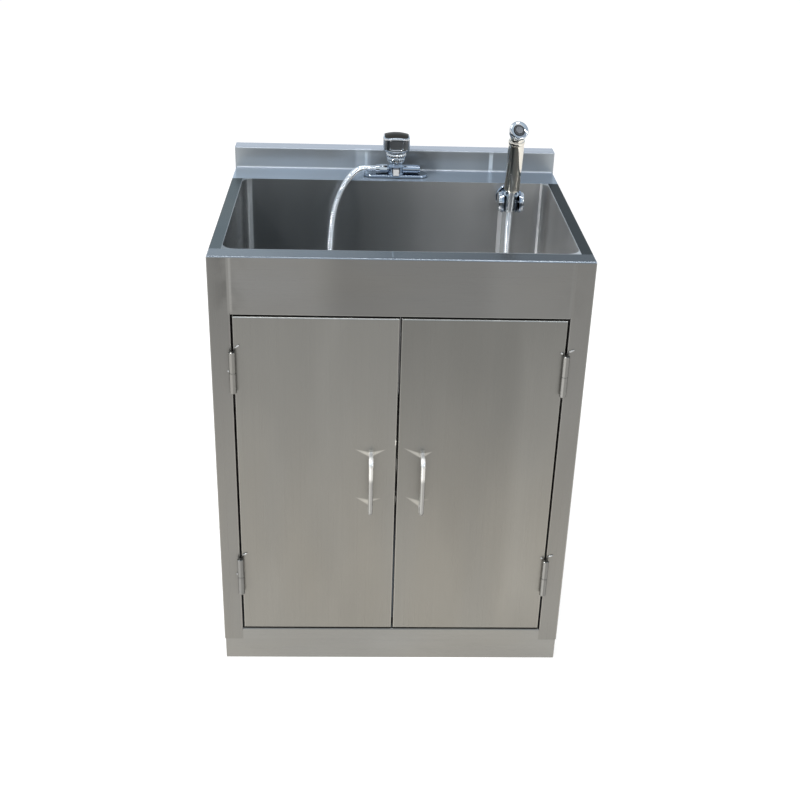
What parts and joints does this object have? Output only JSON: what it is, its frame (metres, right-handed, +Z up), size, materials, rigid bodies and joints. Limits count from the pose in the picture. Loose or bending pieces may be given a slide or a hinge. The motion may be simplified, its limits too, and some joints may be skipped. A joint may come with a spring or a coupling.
{
  "type": "veterinary wash sink",
  "caption": "Free-standing stainless cabinet with a deep welded basin, a lift-and-turn mixer tap, a hosed hand shower on a tilting wall bracket, and hinged doors below.",
  "frame": {"origin": "on the floor, under the middle of the bounding box", "axes": "+Z up, doors face -Y, +X to the right seen from the front"},
  "size_m": [0.7, 0.64, 1.052],
  "materials": {
    "brushed_panel": "fine brushed stainless sheet, satin",
    "satin_steel": "hand-finished stainless with faint polishing swirls",
    "bright_steel": "bright turned or drawn stainless",
    "chrome_plate": "polished chrome plate",
    "raw_brass": "plain machined brass",
    "black_rubber": "matt black rubber",
    "grey_plastic": "matt dark grey plastic",
    "white_plastic": "smooth white plastic"
  },
  "bodies": {
    "cabinet": {"plinth_rails": "brushed_panel", "plinth_sides": "brushed_panel", "base_tray": "brushed_panel", "bottom_rail": "brushed_panel", "left_stile": "brushed_panel", "right_stile": "brushed_panel", "front_apron": "brushed_panel", "left_side_panel": "brushed_panel", "right_side_panel": "brushed_panel", "back_panel": "brushed_panel", "front_rim": "brushed_panel", "left_rim": "brushed_panel", "right_rim": "brushed_panel", "rear_ledge": "brushed_panel", "backsplash": "brushed_panel", "basin": "satin_steel", "frame_knuckles": "satin_steel", "hinge_pins": "bright_steel", "door_catch": "grey_plastic", "tap_gasket": "black_rubber", "tap_base_plate": "chrome_plate", "tap_body": "chrome_plate", "tap_tails": "raw_brass", "tap_backnuts": "raw_brass", "tap_plug": "chrome_plate", "tap_bonnet": "chrome_plate", "tap_cartridge": "grey_plastic", "hose_nut": "chrome_plate", "shower_hose": "chrome_plate", "bracket_yoke": "chrome_plate", "bracket_screws": "bright_steel", "bracket_caps": "chrome_plate", "waste_flange": "bright_steel", "waste_seal": "black_rubber", "waste_locknut": "raw_brass", "waste_tail": "white_plastic", "trap_nuts": "white_plastic", "trap_body": "white_plastic", "trap_cup": "white_plastic", "outlet_pipe": "white_plastic"},
    "left_door": {"left_door_skin": "brushed_panel", "left_door_liner": "satin_steel", "left_handle": "bright_steel", "left_handle_screws": "bright_steel", "left_strike": "satin_steel", "left_door_knuckles": "satin_steel"},
    "right_door": {"right_door_skin": "brushed_panel", "right_door_liner": "satin_steel", "right_handle": "bright_steel", "right_handle_screws": "bright_steel", "right_strike": "satin_steel", "right_door_knuckles": "satin_steel"},
    "tap_spindle_body": {"tap_spindle": "bright_steel"},
    "tap_knob_body": {"tap_knob": "chrome_plate"},
    "cradle": {"bracket_cradle": "chrome_plate"},
    "handset": {"handset_body": "chrome_plate", "handset_head": "chrome_plate", "spray_face": "grey_plastic", "hose_cone": "chrome_plate"},
    "strainer": {"strainer_plate": "bright_steel"}
  },
  "joints": [
    {"name": "left_door_hinge", "type": "hinge", "parent": "cabinet", "child": "left_door", "pos_m": [-0.3095, -0.2868, 0.444], "axis": [0, 0, -1], "range_deg": [0, 180]},
    {"name": "right_door_hinge", "type": "hinge", "parent": "cabinet", "child": "right_door", "pos_m": [0.3095, -0.2868, 0.444], "axis": [0, 0, 1], "range_deg": [0, 180]},
    {"name": "tap_turn", "type": "hinge", "parent": "cabinet", "child": "tap_spindle_body", "pos_m": [0, 0.235, 0.94], "axis": [0, 0, 1], "range_deg": [-60, 60]},
    {"name": "tap_lift", "type": "slide", "parent": "tap_spindle_body", "child": "tap_knob_body", "axis": [0, 0, 1], "range_m": [0, 0.008]},
    {"name": "cradle_tilt", "type": "hinge", "parent": "cabinet", "child": "cradle", "pos_m": [0.243, 0.152, 0.873], "axis": [1, 0, 0], "range_deg": [-12, 12], "deforming": ["shower_hose"]},
    {"name": "handset_lift", "type": "slide", "parent": "cradle", "child": "handset", "axis": [0, -0.2079, 0.9781], "range_m": [0, 0.045], "deforming": ["shower_hose"]},
    {"name": "strainer_lift", "type": "slide", "parent": "cabinet", "child": "strainer", "axis": [0, 0, 1], "range_m": [0, 0.05]}
  ]
}
